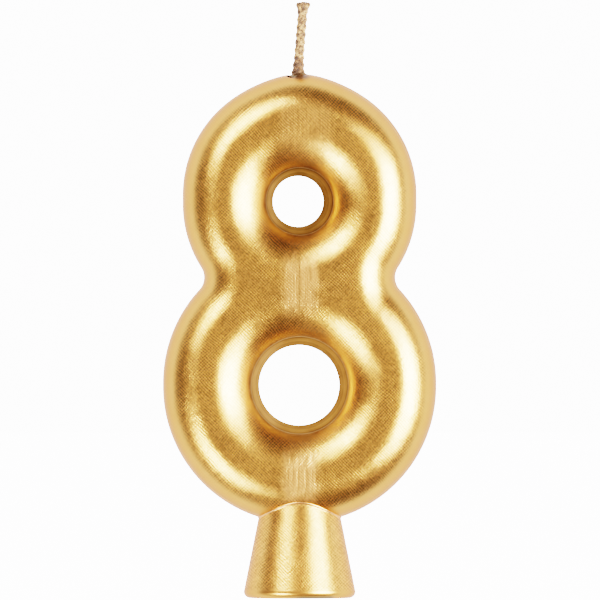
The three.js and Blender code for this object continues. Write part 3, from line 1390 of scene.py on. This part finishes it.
def direction(off_axis: float, around: float) -> Array:
    """Unit vector at an angle off the line to the eye, turned round it from the right, in degrees.

    Args:
        off_axis: angle from the line to the eye.
        around: angle round it, anticlockwise as the eye sees it.

    Returns:
        The vector.
    """
    tilt, turn = np.radians(off_axis), np.radians(around)
    return np.array([np.sin(tilt) * np.cos(turn), -np.cos(tilt), np.sin(tilt) * np.sin(turn)])


@dataclass(frozen=True)
class Softbox:
    """A soft light, placed by how many degrees off the line of sight it stands, and which way."""

    name: str
    off_axis: float
    around: float
    width: float
    height: float
    radiance: float
    distance: float = 1.0
    colour: tuple[float, float, float] = (1.0, 0.94, 1.08)

    def build(self, target: Array) -> None:
        """Makes the light; its power is radiance times area times pi.

        Args:
            target: what it faces.
        """
        way = direction(self.off_axis, self.around)
        lamp = bpy.data.lights.new(self.name, "AREA")
        lamp.shape = "RECTANGLE"
        lamp.size, lamp.size_y = self.width, self.height
        lamp.energy = self.radiance * self.width * self.height * np.pi
        lamp.color = self.colour
        stand = add_object(self.name, lamp)
        stand.location = Vector(target + way * self.distance)
        stand.rotation_euler = Vector(way).to_track_quat("Z", "Y").to_euler()
        stand.visible_camera = False


WHITE = (1.0, 1.0, 1.0, 1.0)


@dataclass
class Studio:
    """A white room: pale floor, three softboxes, a bright back and a dim camera side."""

    height: float
    camera_distance: float = 2.4
    camera_aside: float = 0.05 * MM
    frame_width: float = 83.04 * MM
    aim_height: float = 41.24 * MM
    sensor: float = 36.0
    floor_edge: float = 3.0
    white: float = 6.5
    behind: float = 1.5
    before: float = 0.318
    before_tint: Colour = (1.0, 0.98, 1.0, 1.0)
    side_tint: Colour = (1.08, 1.17, 1.5, 1.0)
    rear_tint: Colour = (1.0, 0.92, 1.13, 1.0)

    def softboxes(self) -> list[Softbox]:
        """The three lights."""
        return [
            Softbox("softbox_right", 48, -2, 0.54, 0.62, 29.0),
            Softbox("softbox_upper_left", 48, 130, 0.40, 0.44, 15.3),
            Softbox("softbox_lower_left", 49, 223, 0.40, 0.44, 14.4),
        ]

    def flags(self) -> list[tuple[float, float, float]]:
        """Black flags on the camera side: degrees off axis, degrees round it, and how dense."""
        return [(67, 58, 0.7), (72, 303, 0.65), (66, 180, 0.5)]

    def world(self) -> None:
        """White to the eye; to the candle, bright behind and dim in front, with a soft join."""
        world = bpy.data.worlds.new("white_room")
        bpy.context.scene.world = world
        world.use_nodes = True
        n = Nodes(world.node_tree)
        way = n.add("ShaderNodeTexCoord").outputs["Generated"]
        y = n.split(way)["Y"]
        wide, narrow = np.cos(np.radians([36, 12])).tolist()
        front: object = self.before
        for off_axis, around, density in self.flags():
            aim = {0: way, 1: tuple(direction(off_axis, around))}
            near = n.add("ShaderNodeVectorMath", aim, operation="DOT_PRODUCT").outputs["Value"]
            front = n.times(front, n.scaled(n.ramp(near, wide, narrow), -density, 1.0))
        glow = n.scaled(n.ramp(y, -0.1, 0.2), n.minus(self.behind, front), front)
        glow = n.times(glow, n.scaled(n.ramp(y, 0.35, 0.85), -0.2, 1.0))
        tint = n.mix(n.ramp(y, -0.55, -0.15), self.before_tint, self.side_tint)
        tint = n.mix(n.ramp(y, 0.05, 0.45), tint, self.rear_tint)
        seen = n.add("ShaderNodeLightPath").outputs["Is Camera Ray"]
        strength = n.scaled(seen, n.minus(self.white, glow), glow)
        shown = {"Color": n.mix(seen, tint, WHITE), "Strength": strength}
        n.fill(world.node_tree.nodes["Background"], shown)

    def floor(self) -> None:
        """A pale, evenly bright floor that only the eye sees."""
        edge = self.floor_edge
        mesh = bpy.data.meshes.new("pale_floor")
        corners = [(-edge, -edge, 0), (edge, -edge, 0), (edge, edge, 0), (-edge, edge, 0)]
        mesh.from_pydata(corners, [], [(0, 1, 2, 3)])
        made, n, shader = new_material("pale_floor")
        glow = {"Emission Color": WHITE, "Emission Strength": self.white}
        n.fill(shader, {"Base Color": (0.9, 0.9, 0.9, 1.0), **glow})
        mesh.materials.append(made)
        floor = add_object("pale_floor", mesh)
        for ray in ("glossy", "diffuse", "transmission", "shadow"):
            setattr(floor, f"visible_{ray}", False)

    def camera(self) -> None:
        """A long lens, level with the candle's middle, straight at its front."""
        lens = bpy.data.cameras.new("camera")
        lens.sensor_width = self.sensor
        lens.lens = self.sensor * self.camera_distance / self.frame_width
        lens.clip_start, lens.clip_end = 0.01, 50.0
        camera = add_object("camera", lens)
        camera.location = (self.camera_aside, -self.camera_distance, self.aim_height)
        camera.rotation_euler = (np.pi / 2, 0.0, 0.0)
        bpy.context.scene.camera = camera

    def build(self) -> None:
        """Sets up camera, lights, room and the way brightness is shown."""
        self.camera()
        self.world()
        self.floor()
        for box in self.softboxes():
            box.build(np.array([0.0, 0.0, self.height / 2]))
        view = bpy.context.scene.view_settings
        view.view_transform, view.look = "Filmic", "Very High Contrast"


# ---- putting it together -----------------------------------------------------------------------


def dress(nodes: list[str], made: Material) -> None:
    """Gives carried-over CAD nodes a material.

    Args:
        nodes: the nodes' names.
        made: the material.
    """
    for name in nodes:
        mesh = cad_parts[name].data
        mesh.materials.clear()
        mesh.materials.append(made)
        log.info("%s: kept from the CAD, in %s", name, made.name)


def main() -> None:
    """Builds the candle and its studio."""
    logging.basicConfig(level=logging.INFO, format="%(name)s: %(message)s")
    numeral = Numeral()
    line = WickLine(numeral)
    marks, strokes = tool_marks_group(), stroke_patches_group()

    maker = NumeralSkin(numeral, line)
    skin = maker.build()
    gold = GoldFinish("gold_lacquer_on_the_8").material(marks, strokes)
    # painted shadow: a near-black colour inside the wick's pit
    pit_shade = (0.03, 0.018, 0.008, 1.0)
    pit = WallFinish("shadow_in_the_pit", colour=pit_shade, deep=pit_shade, pale=pit_shade, edge_tint=pit_shade)
    settle(skin, [gold, WallFinish().material(), pit.material()], "gold_skin", "skin_figure")
    maker.line_holes(skin)

    plain = GoldFinish(
        "gold_lacquer_on_the_foot",
        patches=False,
        roughness=0.325,
        groove_shade=0.8,
        # painted highlight along the crease
        lip=(1.0, 0.58, 0.30, 1.0),
        colour=(1.0, 0.49, 0.160, 1.0),
        deep=(0.95, 0.43, 0.118, 1.0),
    )
    settle(Foot(numeral).build(), [plain.material(marks, strokes)], "gold_skin", "skin_foot")

    # the wall finish's painted shade is nearly full here, so mostly the deep colour shows
    crept = WallFinish(
        "thin_lacquer_on_the_collar",
        colour=(0.36, 0.27, 0.16, 1.0),
        deep=(0.28, 0.21, 0.12, 1.0),
    )
    settle(Collar(numeral, line).build(), [crept.material()], "gold_skin")

    dress(["wax_figure", "wax_foot"], WaxFinish().material())

    cotton = CottonFinish("gold_washed_cotton").material()
    for strand in Braid(line).build():
        way, number = strand.name.split("_")[-2:]
        settle(strand, [cotton], "wick_braid", f"wick_strand_{way}_{number}")
    settle(Fray(line).build(), [cotton], "wick_braid")
    dress(["wick_core"], CottonFinish("core_cotton").material())

    _, top = CAD_BOX
    Studio(float(top[2])).build()


if __name__ == "__main__":
    main()
